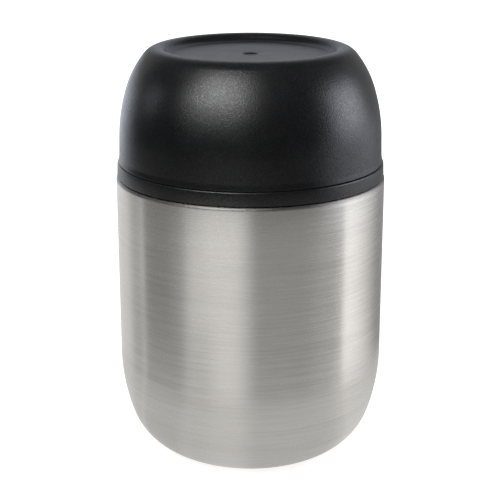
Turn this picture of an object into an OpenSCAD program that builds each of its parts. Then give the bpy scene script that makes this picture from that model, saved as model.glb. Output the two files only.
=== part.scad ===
// Insulated food jar: a brushed steel vacuum jar, a screw-in inner lid with a
// vent button, and a domed outer lid that comes off and serves as a bowl.
// Millimetres. The origin is the centre of the base, +Z is up the jar's axis.

/* [Steel jar] */
// Outside diameter of the straight steel wall
body_d = 104.2; // [90:0.1:130]
// Height of the steel shoulder above the table
body_h = 112.1; // [95:0.1:150]
// Thickness of every steel wall
steel_t = 0.5; // [0.4:0.1:0.8]
// Radius of the tight curve where the base turns up
base_curve_r = 24.3; // [18:0.1:30]
// Radius of the slow curve between the base and the straight wall
flank_r = 74.8; // [60:0.1:95]
// Angle that the slow curve covers, in degrees
flank_a = 18.82; // [15:0.01:23]
// Rounding of the shoulder's outer edge
shoulder_r = 1; // [1:0.1:4]
// Height of the neck above the shoulder
neck_h = 14; // [12:0.5:20]
// Gap between the two steel walls at the neck
neck_gap = 0.4; // [0.3:0.1:2]
// Corner radius inside the foot of the inner vessel
vessel_corner_r = 18; // [10:0.5:24]
// Vacuum gap under the inner vessel
vacuum_floor_gap = 6.5; // [5:0.5:10]

/* [Base] */
// Width of the flat ring that the jar stands on
base_ring_w = 4; // [3:0.5:6]
// Height of the recessed closing pan above the table
pan_z = 3; // [2.4:0.1:4]
// Thickness of the base cover disc
cover_t = 0.6; // [0.5:0.1:1]
// Radius of the hole that the air is drawn out through
vacuum_hole_r = 1; // [0.8:0.1:1.5]

/* [Inner lid] */
// Radius by which the grip ring stays inside the steel wall
ring_inset = 0.35; // [0.2:0.05:2]
// Height of the grip ring
ring_h = 5.5; // [4.5:0.1:9]
// Gap between the steel shoulder and the grip ring
ring_gap = 0.2; // [0.2:0.05:0.8]
// Radius by which the grip ring narrows towards its top
ring_lean = 0.2; // [0:0.05:0.5]
// Wall of the lid's skirt
lid_wall = 1.7; // [1.4:0.1:2.2]
// Thickness of the lid's deck
deck_t = 2.2; // [1.8:0.1:3]
// Height of the raised rim round the deck
rim_h = 2; // [1.5:0.1:3]
// Width of the raised rim
rim_w = 6.5; // [5:0.1:9]
// How far the plug reaches below the jar's lip
plug_depth = 21.5; // [17:0.5:30]
// How far the mouth seal reaches below the jar's lip
seal_depth = 7.5; // [6:0.1:9]
// Number of finger flutes round the rim
flutes = 36; // [12:2:48]

/* [Vent] */
// Radius of the vent button
button_r = 8; // [6.6:0.1:9.6]
// How far the button can be pressed
vent_travel = 2; // [1:0.1:2.4]
// Radius of the valve stem
stem_r = 1.9; // [1.5:0.1:2.3]
// Radius of the valve head under the plug
valve_r = 7; // [5.8:0.1:9]
// Gap between the spring's coils and the button's skirt
spring_room = 1.25; // [1:0.05:1.5]
// Radius of the spring's wire
spring_wire_r = 0.35; // [0.3:0.05:0.4]
// Number of coils
spring_coils = 5; // [4:1:6]

/* [Bowl] */
// Wall of the bowl at its rim
bowl_wall = 2.4; // [2:0.1:2.9]
// Thickness of the bowl's floor
bowl_floor_t = 2.2; // [1.8:0.1:3]
// Radius by which the bowl stays inside the grip ring
bowl_inset = 0.9; // [0.4:0.05:2]
// How far the lip at the bowl's rim flares out
bowl_lip = 0.4; // [0.1:0.05:0.6]
// Height of the flared lip
bowl_lip_h = 2.4; // [1.8:0.1:4]
// Height of the nearly straight part above the rim
bowl_straight_h = 10.2; // [8.8:0.05:16]
// Inward lean of the nearly straight part, in degrees
bowl_draft = 1.7; // [0:0.1:3]
// Radius of the dome's lower curve
dome_low_r = 65.6; // [55:0.1:80]
// Lean of the wall where the lower curve ends, in degrees
dome_low_a = 18.2; // [15:0.1:24]
// Radius of the dome's upper curve
dome_high_r = 37.85; // [31:0.05:46]
// Lean of the wall where the upper curve ends, in degrees
dome_high_a = 39.4; // [34:0.1:48]
// Radius of the tight curve that leads onto the foot ring
crest_r = 7.24; // [5:0.01:10]
// Depth of the recess inside the foot ring
foot_depth = 2.9; // [1.5:0.1:4]
// Width of the soft slope between the foot ring and the recess floor
foot_slope = 5.2; // [3:0.1:8]
// Radius of the moulding mark in the middle of the recess
gate_r = 3.1; // [2:0.1:5]
// Corner radius at the edge of the bowl's floor
bowl_corner_r = 10; // [7:0.5:12]

/* [Threads] */
// Starts of each screw thread
thread_starts = 3; // [2:1:4]
// Distance between neighbouring threads
thread_pitch = 6; // [5:0.5:8]
// Height of a thread ridge above its wall
thread_h = 1.1; // [0.9:0.05:1.3]
// Width of a thread ridge at its root
thread_w = 2.2; // [1.8:0.1:2.6]
// Angle that each long thread covers
thread_arc = 105; // [75:7.5:127.5]
// Angle that each short mating lug covers
lug_arc = 45; // [30:7.5:60]

/* [Clearances] */
// Radial gap between a screw thread's crest and the facing wall
thread_clear = 0.4; // [0.35:0.05:0.6]
// Gap between a thread and the lug that bears on it
thread_play = 0.4; // [0.3:0.05:0.8]
// Gap between pieces that move apart
part_clear = 0.3; // [0.25:0.05:0.5]
// Gap between the grip ring and the bowl's rim
bowl_gap = 0.2; // [0.15:0.05:0.5]
// Gap round a soft seal
seal_clear = 0.1; // [0.08:0.01:0.2]

/* [Hidden] */
$fn = 96;

// Radii at the neck, from the outside in: each wall leaves the next its clearance
body_r = body_d / 2;
ring_r = body_r - ring_inset;
bowl_r = ring_r - bowl_inset;
bowl_in_r = bowl_r - bowl_wall;
skirt_r = bowl_in_r - thread_clear - thread_h;
skirt_in_r = skirt_r - lid_wall;
neck_r = skirt_in_r - thread_clear - thread_h;
vessel_r = neck_r - steel_t - neck_gap;
mouth_r = vessel_r - steel_t;

// Steel side and base
root_r = 1;                      // fillet where the neck leaves the shoulder
rim_fold_r = 1.5;                // fold of the base rim
lip_z = body_h + neck_h;
base_flat_r = body_r - flank_r + (flank_r - base_curve_r) * cos(flank_a);
flank_z = base_curve_r + (flank_r - base_curve_r) * sin(flank_a);
base_open_r = base_flat_r - base_ring_w;
vessel_z = pan_z + steel_t + vacuum_floor_gap;
cover_z = 1.2;
weld_clear = 0.05;               // gap that a weld or a press fit closes

// Screw threads: one lead for both screws, so each rises the same for a turn
thread_lead = thread_starts * thread_pitch;
thread_crest_w = thread_w / 2;
thread_step = 7.5;
bite = 0.2;                      // how far a ridge is sunk into its wall
neck_thread_z = body_h + 3.5;
lug_drop = thread_w + thread_play;
lug_start_a = thread_arc / 2;

// Inner lid
ring_z = body_h + ring_gap;
ring_top = ring_z + ring_h;
ring_edge_r = 0.8;
channel_wall = 2;                // walls round the hollow under the grip ring
channel_gap = 0.6;
seal_t = 1.4;                    // thickness of the mouth seal on the lip
flange_t = 1.4;                  // flange that hangs the plug under the deck
flange_r = neck_r - 0.2;
flange_z = lip_z + 2 * seal_clear + seal_t;
deck_z = flange_z + flange_t;
deck_top = deck_z + deck_t;
rim_top = deck_top + rim_h;
rim_in_r = skirt_r - rim_w;
rim_edge_r = 1.2;
lid_thread_z = ring_top + 2.4;
flute_r = 2;
flute_out = 1.1;                 // how far a flute's axis lies outside the rim
flute_h = 2.2;

// Plug and its seal
plug_wall = 1.6;
plug_corner_r = 3;
plug_r = mouth_r - 1.1;          // leaves the seal its room in the vessel
plug_z = lip_z - plug_depth;
plug_tube_in_r = stem_r + 0.9;
plug_tube_r = plug_tube_in_r + plug_wall;
seal_low_z = lip_z - seal_depth;
seal_web_r = mouth_r - 0.55;
fin_r = mouth_r - part_clear;
fin_h = 0.9;
fin_pitch = 2.4;
bead_h = 1.4;
bead_out = 0.5;

// Vent, from the valve head up to the button
stem_hole_r = stem_r + part_clear;
pocket_z = deck_top + 0.6;
pocket_r = button_r + part_clear;
hub_r = pocket_r + 2.4;
hub_edge = 0.6;
button_wall = 1.2;
button_top_t = 1.6;
button_edge_r = 0.8;
button_low_z = pocket_z + vent_travel + part_clear;
button_in_z = button_low_z + 4.2;
button_in_r = button_r - button_wall;
button_top = button_in_z + button_top_t;
hub_top = button_top - vent_travel - 0.5;
boss_r = stem_r + button_wall;
boss_z = button_in_z - 1.6;
valve_seal_t = 1.1;
valve_z = plug_z - seal_clear - valve_seal_t;
valve_t = 1.4;
valve_edge = 0.4;

// Spring under the button
spring_r = button_in_r - spring_room - spring_wire_r;
spring_low = pocket_z + spring_wire_r + weld_clear;
spring_high = button_in_z - spring_wire_r - weld_clear;
spring_rings = 8;                // rings of points in one coil
spring_sides = 6;

// Bowl, from the rim up the outside of the dome
bowl_z = ring_top + bowl_gap;
bowl_edge = 0.3;
rebate_r = bowl_r - bowl_wall / 2;
rebate_z = bowl_z + 1.3;         // top of the rebate that holds the bowl's seal
low_start = [bowl_r - bowl_straight_h * tan(bowl_draft), bowl_z + bowl_straight_h];
low_c = low_start - dome_low_r * [cos(bowl_draft), sin(bowl_draft)];
high_start = low_c + dome_low_r * [cos(dome_low_a), sin(dome_low_a)];
high_c = high_start - dome_high_r * [cos(dome_low_a), sin(dome_low_a)];
crest_start = high_c + dome_high_r * [cos(dome_high_a), sin(dome_high_a)];
crest_c = crest_start - crest_r * [cos(dome_high_a), sin(dome_high_a)];
top_z = crest_c.y + crest_r;
foot_z = top_z - foot_depth;
slope_a = 2 * atan(foot_depth / foot_slope);
slope_r = foot_slope / 2 / sin(slope_a);
foot_in_r = crest_c.x - foot_slope;
gate_depth = 0.5;

// The lip's outer face, from its edge (t = 0) up to the wall (t = 1)
function lip_point(t) =
    let (up = bowl_edge + t * (bowl_lip_h - bowl_edge))
    [bowl_r - up * tan(bowl_draft) + bowl_lip * (1 - t * t * (3 - 2 * t)), bowl_z + up];

// Bowl, the inside from its floor down to the threads
bowl_floor_z = foot_z - bowl_floor_t;
inner_high_r = dome_high_r - bowl_wall;
inner_low_r = dome_low_r - bowl_wall;
corner_z = bowl_floor_z - bowl_corner_r;
corner_x = high_c.x + sqrt(pow(inner_high_r - bowl_corner_r, 2) - pow(corner_z - high_c.y, 2));
corner_a = atan2(corner_z - high_c.y, corner_x - high_c.x);
inner_thread_z = rim_top + 0.95;
inner_ledge_z = inner_thread_z + 1.5;
inner_ledge_a = asin((inner_ledge_z - low_c.y) / inner_low_r);

steel = "#b9b5ae";
inner_steel = "#cfcdc8";
black = "#22252b";
silicone = "#3b3e42";

// Points along an arc about c, from angle a0 to a1
function arc(c, r, a0, a1, n = 12) =
    [for (i = [0:n]) let (a = a0 + (a1 - a0) * i / n) c + r * [cos(a), sin(a)]];

// The same faces with each one turned over
function flipped(faces) = [for (f = faces) [f[2], f[1], f[0]]];

// A solid of revolution about the jar's axis
module lathe(points) {
    rotate_extrude($fn = 144) polygon(points);
}

// A flat ring or disc
module washer(r, r_in, z0, z1) {
    rotate_extrude() translate([r_in, z0]) square([r - r_in, z1 - z0]);
}

// One screw ridge: a trapezoid swept up a helix, running out to nothing at
// both ends. side = 1 stands out of a wall of radius r, -1 stands into it.
module ridge(r, z, a0, sweep, side) {
    n = round(sweep / thread_step);
    section = function (i)
        let (a = a0 + i * thread_step,
             zc = z + thread_lead * i * thread_step / 360,
             grow = min(1, 0.15 + 0.425 * min(i, n - i)),
             out = r + side * thread_h * grow,
             root = r - side * bite,
             half = grow * thread_w / 2,
             tip = grow * thread_crest_w / 2)
        [for (q = [[root, -half], [out, -tip], [out, tip], [root, half]])
            [q.x * cos(a), q.x * sin(a), zc + q.y]];
    points = [for (i = [0:n]) each section(i)];
    side_faces = [for (i = [0:n - 1], k = [0:3])
        let (a = 4 * i + k, b = 4 * i + (k + 1) % 4)
        each [[a, a + 4, b + 4], [a, b + 4, b]]];
    first = [[0, 1, 2], [0, 2, 3]];
    last = [for (f = flipped(first)) f + 4 * n * [1, 1, 1]];
    faces = concat(side_faces, first, last);
    polyhedron(points, side < 0 ? faces : flipped(faces));
}

// A full set of equal ridges round a wall
module thread(r, z, a0, sweep, side) {
    for (k = [0:thread_starts - 1])
        ridge(r, z, a0 + 360 * k / thread_starts, sweep, side);
}

// The lugs that run under the long threads starting at height z
module lugs(r, z) {
    thread(r, z + thread_lead * lug_start_a / 360 - lug_drop, lug_start_a, lug_arc, -1);
}

// The side of the steel wall, from the base rim up to the shoulder's edge.
// inset = 0 gives its outer face and steel_t its inner face.
function steel_side(inset) = concat(
    arc([base_flat_r, base_curve_r], base_curve_r - inset, -90, -flank_a, 18),
    arc([body_r - flank_r, flank_z], flank_r - inset, -flank_a, 0, 12),
    arc([body_r - shoulder_r, body_h - shoulder_r], shoulder_r - inset, 0, 90, 8));

// The fillet from the shoulder up into the neck, read from shoulder to neck
function neck_root(inset) =
    arc([neck_r + root_r, body_h + root_r], root_r + inset, 270, 180, 6);

// The folded rim round the opening in the base, read outwards
function base_fold(inset) =
    arc([base_open_r + rim_fold_r, rim_fold_r], rim_fold_r - inset, 180, 270, 6);

// The whole steel wall at one depth, from the base rim up to the lip
function steel_wall(inset) = concat(
    [[base_open_r + inset, pan_z + steel_t]],
    base_fold(inset),
    steel_side(inset),
    neck_root(inset),
    [[neck_r - inset, lip_z - steel_t]]);

module outer_shell() {
    inside = steel_wall(steel_t);
    color(steel) union() {
        lathe(concat(steel_wall(0), [for (i = [len(inside) - 1:-1:0]) inside[i]]));
        thread(neck_r, neck_thread_z, 0, thread_arc, 1);
    }
}

module inner_vessel() {
    corner = [vessel_r - vessel_corner_r, vessel_z + vessel_corner_r];
    color(inner_steel) lathe(concat(
        [[0, vessel_z]],
        arc(corner, vessel_corner_r, -90, 0, 14),
        [[vessel_r, lip_z - steel_t], [neck_r, lip_z - steel_t], [neck_r, lip_z]],
        arc([vessel_r, lip_z - steel_t], steel_t, 90, 180, 4),
        arc(corner, vessel_corner_r - steel_t, 0, -90, 14),
        [[0, vessel_z + steel_t]]));
}

// Reflecting foil wrapped round the vessel, inside the vacuum
module heat_foil() {
    foil_t = 0.15;
    foil_r = vessel_r + 2 * weld_clear;
    foil_top = body_h - 8;
    color("#c98a5a")
        washer(foil_r + foil_t, foil_r, vessel_z + vessel_corner_r, foil_top);
}

module base_pan() {
    color(steel)
        washer(base_open_r - weld_clear, vacuum_hole_r, pan_z, pan_z + steel_t);
}

getter_r = 3.6;
getter_h = 1.6;
getter_x = (vacuum_hole_r + base_open_r) / 2;

module getter() {
    color("#8c8c90") translate([getter_x, 0, pan_z + steel_t])
        cylinder(r = getter_r, h = getter_h);
}

// Strap over the getter, spot-welded to the pan at both ends
module getter_clip() {
    strap_t = 0.3;
    strap_w = 3;
    reach = getter_r + 0.2;
    foot = 2;
    under = getter_h + weld_clear;
    half = [[0, under + strap_t], [reach + strap_t, under + strap_t],
            [reach + strap_t, strap_t], [reach + foot, strap_t], [reach + foot, 0],
            [reach, 0], [reach, under], [0, under]];
    color("#a9a7a2") translate([getter_x, 0, pan_z + steel_t])
        rotate([90, 0, 0]) linear_extrude(strap_w, center = true)
            polygon(concat(half, [for (i = [6:-1:1]) [-half[i].x, half[i].y]]));
}

// Solder bead that closes the vacuum hole from below
module vacuum_seal() {
    bead_r = vacuum_hole_r + 1.2;
    drop = pan_z - cover_z - cover_t - part_clear;
    plug = vacuum_hole_r - weld_clear / 2;
    color("#77797c") lathe(concat(
        [[0, pan_z - drop]],
        arc([0, pan_z], drop, -90, -20, 6),
        [[bead_r, pan_z], [plug, pan_z], [plug, pan_z + steel_t], [0, pan_z + steel_t]]));
}

module base_cover() {
    cover_r = base_open_r - 3 * weld_clear;
    color(steel) lathe([
        [0, cover_z], [cover_r - cover_t, cover_z], [cover_r, cover_z + cover_t / 2],
        [cover_r, cover_z + cover_t], [0, cover_z + cover_t]]);
}

// Soft ring that lies on the lip and wipes down the vessel's wall
module mouth_seal() {
    in_r = plug_r + seal_clear;
    top = flange_z - seal_clear;
    edge_r = neck_r + 0.1;
    fin = function (z) [[seal_web_r, z], [fin_r, z + fin_h * 0.6], [fin_r, z + fin_h],
                        [seal_web_r, z + fin_h * 1.2]];
    color(silicone) lathe(concat(
        [[in_r, seal_low_z], [seal_web_r, seal_low_z]],
        fin(seal_low_z + 1), fin(seal_low_z + 1 + fin_pitch),
        [[seal_web_r, top - seal_t], [flange_r, top - seal_t],
         [edge_r, top - seal_t / 2], [flange_r, top], [in_r, top]]));
}

// Deck, skirt and grip ring of the inner lid, one moulding
module inner_lid() {
    channel_in = skirt_r + channel_gap;
    channel_out = ring_r - channel_wall;
    channel_top = ring_top - channel_wall;
    ring_top_r = ring_r - ring_lean;
    color(black) union() {
        difference() {
            lathe(concat(
                [[stem_hole_r, deck_z], [skirt_in_r, deck_z], [skirt_in_r, ring_z],
                 [channel_in, ring_z], [channel_in, channel_top],
                 [channel_out, channel_top], [channel_out, ring_z]],
                arc([ring_r - ring_edge_r, ring_z + ring_edge_r], ring_edge_r, -90, 0, 4),
                arc([ring_top_r - ring_edge_r, ring_top - ring_edge_r], ring_edge_r, 0, 90, 4),
                [[skirt_r, ring_top]],
                arc([skirt_r - rim_edge_r, rim_top - rim_edge_r], rim_edge_r, 0, 90, 6),
                [[rim_in_r + rim_h, rim_top], [rim_in_r, deck_top], [hub_r, deck_top],
                 [hub_r, hub_top - hub_edge], [hub_r - hub_edge, hub_top], [pocket_r, hub_top],
                 [pocket_r, pocket_z], [stem_hole_r, pocket_z]]));
            for (k = [0:flutes - 1])
                rotate(360 * k / flutes) translate([skirt_r + flute_out, 0, rim_top - flute_h])
                    cylinder(r = flute_r, h = 2 * flute_h, $fn = 24);
        }
        lugs(skirt_in_r, neck_thread_z);
        thread(skirt_r, lid_thread_z, 0, thread_arc, 1);
    }
}

// Cup that reaches down into the mouth, with a tube for the valve stem
module lid_plug() {
    corner = [plug_r - plug_corner_r, plug_z + plug_corner_r];
    bead_z = seal_low_z - seal_clear - bead_h;
    color(black) lathe(concat(
        [[plug_tube_in_r, plug_z]],
        arc(corner, plug_corner_r, -90, 0, 6),
        [[plug_r, bead_z], [plug_r + bead_out, bead_z + bead_out],
         [plug_r + bead_out, bead_z + bead_h - bead_out / 2], [plug_r, bead_z + bead_h],
         [plug_r, flange_z], [flange_r, flange_z], [flange_r, deck_z],
         [plug_r - plug_wall, deck_z]],
        arc(corner, plug_corner_r - plug_wall, 0, -90, 6),
        [[plug_tube_r, plug_z + plug_wall], [plug_tube_r, deck_z], [plug_tube_in_r, deck_z]]));
}

// Rigid foam that fills the plug
module lid_foam() {
    gap = 0.2;
    edge = 2;
    foam_in_r = plug_tube_r + gap;
    foam_r = plug_r - plug_wall - gap;
    low = plug_z + plug_wall + gap;
    top = deck_z - gap;
    color("#e9e6dc") lathe([
        [foam_in_r, low], [foam_r - edge, low], [foam_r, low + edge], [foam_r, top],
        [foam_in_r, top]]);
}

// Button cap, with a boss in its middle that grips the stem
module vent_button() {
    color(black) lathe(concat(
        [[0, button_in_z], [stem_r, button_in_z], [stem_r, boss_z], [boss_r, boss_z],
         [boss_r, button_in_z], [button_in_r, button_in_z], [button_in_r, button_low_z],
         [button_r, button_low_z]],
        arc([button_r - button_edge_r, button_top - button_edge_r], button_edge_r, 0, 75, 5),
        [[0, button_top]]));
}

module vent_stem() {
    color("#c9c9c4") lathe([
        [0, valve_z - valve_t], [valve_r - valve_edge, valve_z - valve_t],
        [valve_r, valve_z - valve_t + valve_edge], [valve_r, valve_z], [stem_r, valve_z],
        [stem_r, button_in_z - weld_clear], [0, button_in_z - weld_clear]]);
}

module vent_seal() {
    color(silicone) washer(valve_r - 0.6, stem_r + weld_clear, valve_z, valve_z + valve_seal_t);
}

// Compression spring under the button: one round wire wound up a helix
function spring_point(i) =
    let (a = 360 * i / spring_rings,
         rise = (spring_high - spring_low) * i / (spring_coils * spring_rings))
    [spring_r * cos(a), spring_r * sin(a), spring_low + rise];
spring_path = [for (i = [0:spring_coils * spring_rings]) spring_point(i)];
spring_gap = min([for (i = [0:len(spring_path) - 1], j = [0:len(spring_path) - 1])
    if (abs(i - j) >= spring_rings / 2) norm(spring_path[i] - spring_path[j])])
    - 2 * spring_wire_r;
echo(least_gap_between_spring_coils = spring_gap);

module vent_spring() {
    n = len(spring_path) - 1;
    points = [for (i = [0:n], k = [0:spring_sides - 1])
        let (a = 360 * i / spring_rings, b = 360 * k / spring_sides,
             out = spring_wire_r * cos(b))
        spring_path[i] + [out * cos(a), out * sin(a), spring_wire_r * sin(b)]];
    walls = [for (i = [0:n - 1], k = [0:spring_sides - 1])
        let (a = spring_sides * i + k, b = spring_sides * i + (k + 1) % spring_sides)
        each [[a, b, b + spring_sides], [a, b + spring_sides, a + spring_sides]]];
    ends = [for (k = [1:spring_sides - 2])
        each [[0, k + 1, k], [n * spring_sides, n * spring_sides + k, n * spring_sides + k + 1]]];
    color("silver") polyhedron(points, concat(walls, ends));
}

// Soft ring in the rebate at the bowl's rim
module bowl_seal() {
    color(silicone) washer(rebate_r - seal_clear, bowl_in_r + seal_clear,
                           ring_top + seal_clear, rebate_z - seal_clear);
}

// Dome and bowl in one moulding, with lugs that screw onto the inner lid
module bowl() {
    slope_top = crest_c + [0, crest_r - slope_r];
    slope_low = [foot_in_r, foot_z + slope_r];
    gate_z = foot_z - gate_depth;
    color(black) union() {
        lathe(concat(
            [[rebate_r, bowl_z], [bowl_r + bowl_lip - bowl_edge, bowl_z]],
            [for (i = [0:6]) lip_point(i / 6)],
            arc(low_c, dome_low_r, bowl_draft, dome_low_a, 10),
            arc(high_c, dome_high_r, dome_low_a, dome_high_a, 10),
            arc(crest_c, crest_r, dome_high_a, 90, 10),
            arc(slope_top, slope_r, 90, 90 + slope_a, 8),
            arc(slope_low, slope_r, slope_a - 90, -90, 8),
            [[gate_r, foot_z], [gate_r - gate_depth, gate_z], [0, gate_z], [0, bowl_floor_z]],
            arc([corner_x, corner_z], bowl_corner_r, 90, corner_a, 10),
            arc(high_c, inner_high_r, corner_a, dome_low_a, 8),
            arc(low_c, inner_low_r, dome_low_a, inner_ledge_a, 6),
            [[bowl_in_r, inner_thread_z], [bowl_in_r, rebate_z], [rebate_r, rebate_z]]));
        lugs(bowl_in_r, lid_thread_z);
    }
}

echo(height_mm = top_z, rise_per_turn_mm = thread_lead, spring_fixed_end_mm = pocket_z);

outer_shell();
inner_vessel();
heat_foil();
base_pan();
getter();
getter_clip();
vacuum_seal();
base_cover();
mouth_seal();
inner_lid();
lid_plug();
lid_foam();
vent_button();
vent_stem();
vent_spring();
vent_seal();
bowl_seal();
bowl();
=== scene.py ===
# %% [markdown]
# # An insulated food jar, piece by piece
#
# The jar is a double-walled steel vessel with two screw lids. The inner lid
# plugs the mouth and has a vent button. The domed outer lid comes off and is
# the bowl that the food is eaten from. Nearly every piece is a turned shape,
# so this lesson is about outlines that are spun round one axis, about threads
# pressed into such a surface, and about two finishes that carry the whole
# look: brushed steel and fine-grained black plastic.

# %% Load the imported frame
import math

import bpy
import numpy as np
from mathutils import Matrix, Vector


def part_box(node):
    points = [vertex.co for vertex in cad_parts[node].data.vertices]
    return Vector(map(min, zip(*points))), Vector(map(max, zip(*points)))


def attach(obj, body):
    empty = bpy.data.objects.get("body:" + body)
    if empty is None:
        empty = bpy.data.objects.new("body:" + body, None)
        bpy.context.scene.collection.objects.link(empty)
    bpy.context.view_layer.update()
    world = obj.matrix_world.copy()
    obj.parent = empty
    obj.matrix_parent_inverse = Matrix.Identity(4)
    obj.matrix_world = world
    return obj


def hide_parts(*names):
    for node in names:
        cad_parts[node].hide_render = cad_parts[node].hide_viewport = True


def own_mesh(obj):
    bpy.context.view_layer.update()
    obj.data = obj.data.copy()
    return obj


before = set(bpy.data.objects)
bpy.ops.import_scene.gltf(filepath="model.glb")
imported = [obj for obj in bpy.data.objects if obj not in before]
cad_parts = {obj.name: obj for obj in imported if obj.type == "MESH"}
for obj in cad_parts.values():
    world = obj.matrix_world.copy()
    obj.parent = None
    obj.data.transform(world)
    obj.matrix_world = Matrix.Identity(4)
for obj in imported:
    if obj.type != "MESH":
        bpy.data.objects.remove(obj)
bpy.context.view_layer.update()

# %% [markdown]
# ## Sizes
#
# The frame holds each piece at its real place, so the sizes that decide a fit
# are read from its boxes. Outlines are drawn in millimetres, as a turner would
# draw them, and become metres only when the mesh is made.

# %% Read the sizes that decide the fits
MM = 0.001


def node_box(node):
    """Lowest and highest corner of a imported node, in millimetres."""
    low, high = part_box(node)
    return low / MM, high / MM


_, shell_high = node_box("outer_shell")
vessel_low, vessel_high = node_box("inner_vessel")
cover_low, cover_high = node_box("base_cover")
lid_low, lid_high = node_box("inner_lid")
plug_low, plug_high = node_box("lid_plug")
gasket_low, gasket_high = node_box("mouth_seal")
cap_low, cap_high = node_box("vent_button")
stem_low, stem_high = node_box("vent_stem")
washer_low, washer_high = node_box("vent_seal")
spring_low, spring_high = node_box("vent_spring")
bowl_low, bowl_high = node_box("bowl")
bowl_ring_low, bowl_ring_high = node_box("bowl_seal")

BODY_R = shell_high.x
NECK_R = vessel_high.x
LIP_Z = vessel_high.z
STEEL_T = vessel_high.z - shell_high.z
RING_R = lid_high.x
RING_Z = lid_low.z
DECK_Z = plug_high.z
print(f"body radius {BODY_R:.2f}, neck radius {NECK_R:.2f}, lip at {LIP_Z:.2f} mm")

# %% [markdown]
# ## Outlines
#
# A turned piece is fully described by the outline of half its section. Arcs
# are written by centre, radius and angles, and a sharp corner can carry a
# third number, the rounding that a press or a mould leaves on it. This is
# easier to read, and closer to the drawing, than beveling a finished mesh.

# %% Points along an arc
def arc(centre, radius, start, end, steps):
    """Points (r, z) along an arc, with its angles in degrees."""
    angles = np.radians(np.linspace(start, end, steps + 1))
    return [(centre[0] + radius * math.cos(a), centre[1] + radius * math.sin(a)) for a in angles]


# %% Round the corners that carry a rounding
def rounded(corners, steps=5):
    """A closed outline, from plain (r, z) points and (r, z, rounding) corners."""
    points = []
    for i, corner in enumerate(corners):
        if len(corner) == 2:
            points.append(corner)
            continue
        here = np.array(corner[:2], float)
        back = np.array(corners[i - 1][:2], float) - here
        ahead = np.array(corners[(i + 1) % len(corners)][:2], float) - here
        room = 0.48 * min(np.linalg.norm(back), np.linalg.norm(ahead))
        back, ahead = back / np.linalg.norm(back), ahead / np.linalg.norm(ahead)
        half = math.acos(np.clip(back @ ahead, -1, 1)) / 2
        radius = min(corner[2], room * math.tan(half))
        middle = (back + ahead) / np.linalg.norm(back + ahead)
        centre = here + middle * radius / math.sin(half)
        first = here + back * radius / math.tan(half) - centre
        last = here + ahead * radius / math.tan(half) - centre
        start = math.degrees(math.atan2(first[1], first[0]))
        turn = math.degrees(math.atan2(last[1], last[0])) - start
        turn = (turn + 180) % 360 - 180
        points += arc(centre, radius, start, start + turn, steps)
    return points


# %% Add rows where a thread or a flute needs them
def with_rows(points, step, bottom, top, walls=None):
    """The same outline, with upright stretches between two heights cut into short rows.

    If walls are given, only stretches at those radii are cut.
    """
    rows = []
    for (r0, z0), (r1, z1) in zip(points, points[1:] + points[:1]):
        rows.append((r0, z0))
        upright = abs(r1 - r0) < 0.2 and min(z0, z1) >= bottom - 1 and max(z0, z1) <= top + 1
        if walls and all(abs(r0 - wall) > 0.3 for wall in walls):
            upright = False
        if upright and abs(z1 - z0) > step:
            count = math.ceil(abs(z1 - z0) / step)
            rows += [(r0 + (r1 - r0) * k / count, z0 + (z1 - z0) * k / count)
                     for k in range(1, count)]
    return rows


# %% [markdown]
# ## Spinning an outline into a mesh
#
# The screw modifier could turn an outline, but a thread has to change the
# surface as a function of both height and angle. So the mesh is built directly
# as rings of points, and a piece may pass a `relief` function that moves them.
# The result is one closed skin, smooth except where the outline really turns.

# %% Spin an outline
PIECES = bpy.data.collections.new("pieces")
bpy.context.scene.collection.children.link(PIECES)
CREASE_ANGLE = math.radians(38)


def new_piece(name, verts, faces):
    """A mesh object with smooth faces and creases at its real corners."""
    mesh = bpy.data.meshes.new(name)
    mesh.from_pydata(verts, [], faces)
    mesh.update()
    mesh.shade_smooth()
    mesh.set_sharp_from_angle(angle=CREASE_ANGLE)
    piece = bpy.data.objects.new(name, mesh)
    PIECES.objects.link(piece)
    return piece


def spin(name, outline, segments=256, relief=None):
    """Turn a closed outline (r, z in mm) about the jar's axis."""
    r, z = (np.array(c) for c in zip(*outline))
    if np.sum(r * np.roll(z, -1) - np.roll(r, -1) * z) < 0:
        r, z = r[::-1], z[::-1]
    angle = np.arange(segments) * 2 * math.pi / segments
    rr, aa = np.meshgrid(r, angle, indexing="ij")
    zz = np.meshgrid(z, angle, indexing="ij")[0]
    if relief is not None:
        rr, zz = relief(rr, zz, aa)
    grid = np.stack([rr * np.cos(aa), rr * np.sin(aa), zz], axis=2) * MM
    verts, rings = [], []
    for i, radius in enumerate(r):
        on_axis = radius < 1e-6
        rings.append((len(verts), 1 if on_axis else segments))
        verts += grid[i, :1].tolist() if on_axis else grid[i].tolist()
    faces = []
    for i in range(len(r)):
        (low, n_low), (high, n_high) = rings[i], rings[(i + 1) % len(r)]
        for j in range(segments if max(n_low, n_high) > 1 else 0):
            k = (j + 1) % segments
            if n_low == 1:
                faces.append((low, high + k, high + j))
            elif n_high == 1:
                faces.append((low + j, low + k, high))
            else:
                faces.append((low + j, low + k, high + k, high + j))
    return new_piece(name, verts, faces)


# %% [markdown]
# ## Screw threads
#
# Each screw has three starts, so a short turn lifts the lid a long way. On
# steel the ridge is rolled into the sheet and on plastic it is moulded, and
# both leave soft flanks that run out to nothing. A ridge is therefore a smooth
# bump along a helix, added to the wall's radius, and the mating lugs are the
# same bump, shorter, lower by a ridge's width, and pointing inwards.

# %% The bump of a set of threads
THREAD_STARTS = 3
THREAD_LEAD = 18         # rise for one turn
THREAD_H = 1.1
THREAD_ROOT_W = 2.2
THREAD_CREST_W = 0.9
THREAD_SWEEP = 105
LUG_SWEEP = 45
LUG_PLAY = 0.4
RUN_OUT = 15             # degrees in which a ridge fades at its ends
THREAD_ROW = 0.25        # height of a mesh row where there is a thread


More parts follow.
